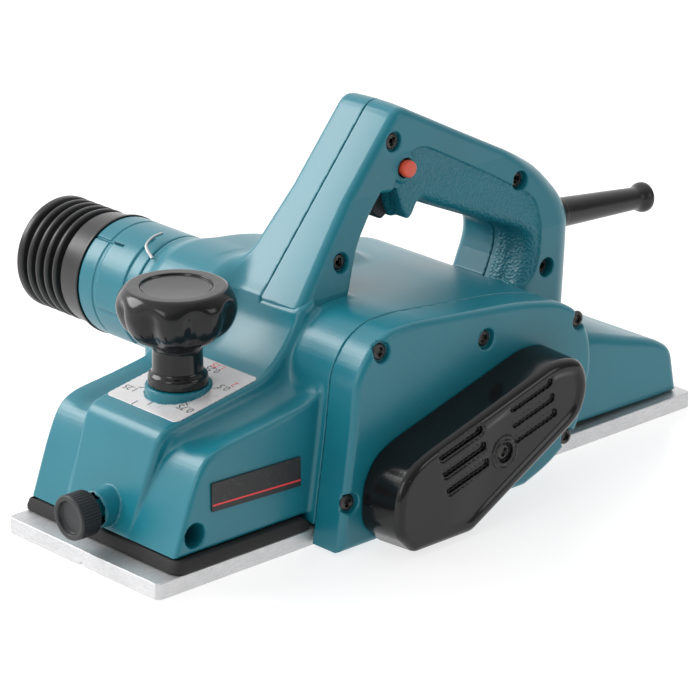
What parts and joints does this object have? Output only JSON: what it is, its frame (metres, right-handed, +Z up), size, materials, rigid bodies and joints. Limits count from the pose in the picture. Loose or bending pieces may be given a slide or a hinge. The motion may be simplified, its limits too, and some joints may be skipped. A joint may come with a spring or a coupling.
{
  "type": "electric hand planer",
  "caption": "Hand-held electric wood planer with a two-part sole, a looped handle, a depth knob, a belt drive under a side cover and a ribbed chip outlet.",
  "frame": {"origin": "middle of the rear sole, on its flat underside", "axes": "+X from the nose to the tail, +Z up, -Y the belt side, +Y the chip outlet side"},
  "size_m": [0.3834, 0.268, 0.1872],
  "materials": {
    "teal_shell": "satin moulded plastic, teal",
    "black_gloss": "polished moulded plastic, black",
    "black_matte": "matte moulded plastic, black",
    "grey_plastic": "matte moulded plastic, dark grey",
    "orange_button": "glossy plastic, orange red",
    "rubber": "soft black rubber",
    "shoe_aluminium": "milled and lightly brushed",
    "bright_steel": "ground steel",
    "black_steel": "blackened steel",
    "copper_alloy": "drawn copper alloy",
    "carbon": "pressed carbon",
    "printed_plate": "light printed label plate"
  },
  "bodies": {
    "housing": {"main_housing": "teal_shell", "handle_cover": "teal_shell", "belt_case": "teal_shell", "belt_cover": "black_gloss", "handle_screw_1": "black_steel", "handle_screw_2": "black_steel", "handle_screw_3": "black_steel", "handle_screw_4": "black_steel", "case_screw_1": "black_steel", "case_screw_2": "black_steel", "case_screw_3": "black_steel", "case_screw_4": "black_steel", "case_screw_5": "black_steel", "cover_screw": "black_steel", "rear_shoe": "shoe_aluminium", "shoe_screw_1": "bright_steel", "shoe_screw_2": "bright_steel", "shoe_screw_3": "bright_steel", "shoe_screw_4": "bright_steel", "rubber_skirt": "rubber", "shoe_spring_belt_side": "bright_steel", "shoe_spring_chip_side": "bright_steel", "scale_plate": "printed_plate", "badge_plate": "black_gloss", "chip_nozzle": "teal_shell", "nozzle_cuff": "rubber", "wire_clip": "bright_steel", "cord_guard": "rubber", "trigger_pin": "bright_steel", "switch_body": "black_matte", "drum_bearing_belt_side": "bright_steel", "drum_bearing_chip_side": "bright_steel", "motor_bearing_belt_side": "bright_steel", "motor_bearing_chip_side": "bright_steel", "drive_belt": "rubber", "stator": "black_steel", "brush_holder_upper": "copper_alloy", "carbon_brush_upper": "carbon", "brush_holder_lower": "copper_alloy", "carbon_brush_lower": "carbon"},
    "front_base": {"front_shoe": "shoe_aluminium"},
    "depth_setting": {"depth_knob": "black_gloss", "knob_disc": "grey_plastic", "adjusting_screw": "bright_steel"},
    "cutter_drum": {"drum": "bright_steel", "blade_1": "bright_steel", "blade_clamp_1": "black_steel", "blade_2": "bright_steel", "blade_clamp_2": "black_steel", "drum_pulley": "shoe_aluminium"},
    "armature": {"armature_shaft": "bright_steel", "armature_core": "black_steel", "commutator": "copper_alloy", "fan": "black_gloss", "motor_pulley": "bright_steel"},
    "trigger_lever": {"trigger": "grey_plastic"},
    "lock_pin": {"lock_button": "orange_button"},
    "guide_clamp": {"thumb_screw": "black_matte"}
  },
  "joints": [
    {"name": "knob_turn", "type": "hinge", "parent": "housing", "child": "depth_setting", "pos_m": [-0.192, 0, 0.1], "axis": [0, 0, -1], "range_deg": [0, 480]},
    {"name": "shoe_lift", "type": "slide", "parent": "housing", "child": "front_base", "axis": [0, 0, 1], "range_m": [0, 0.002], "deforming": ["rubber_skirt", "shoe_spring_belt_side", "shoe_spring_chip_side"]},
    {"name": "drum_spin", "type": "hinge", "parent": "housing", "child": "cutter_drum", "pos_m": [-0.1155, 0, 0.0273], "axis": [0, 1, 0], "continuous": true},
    {"name": "armature_spin", "type": "hinge", "parent": "housing", "child": "armature", "pos_m": [-0.0395, 0, 0.057], "axis": [0, 1, 0], "continuous": true},
    {"name": "trigger_pull", "type": "hinge", "parent": "housing", "child": "trigger_lever", "pos_m": [-0.0555, 0, 0.146], "axis": [0, 1, 0], "range_deg": [0, 8], "stiffness_Nm_per_rad": 0.3, "springref_deg": -8.59},
    {"name": "lock_press", "type": "slide", "parent": "housing", "child": "lock_pin", "axis": [0, 1, 0], "range_m": [0, 0.004], "stiffness_N_per_m": 400, "springref_m": -0.003},
    {"name": "guide_clamp_turn", "type": "hinge", "parent": "housing", "child": "guide_clamp", "pos_m": [-0.2525, 0, 0.026], "axis": [-1, 0, 0], "range_deg": [0, 360]}
  ],
  "couplings": [
    {"joint": "knob_turn", "follows": "shoe_lift", "rad_per_m": 4188.7},
    {"joint": "armature_spin", "follows": "drum_spin", "ratio": 1.6466}
  ]
}
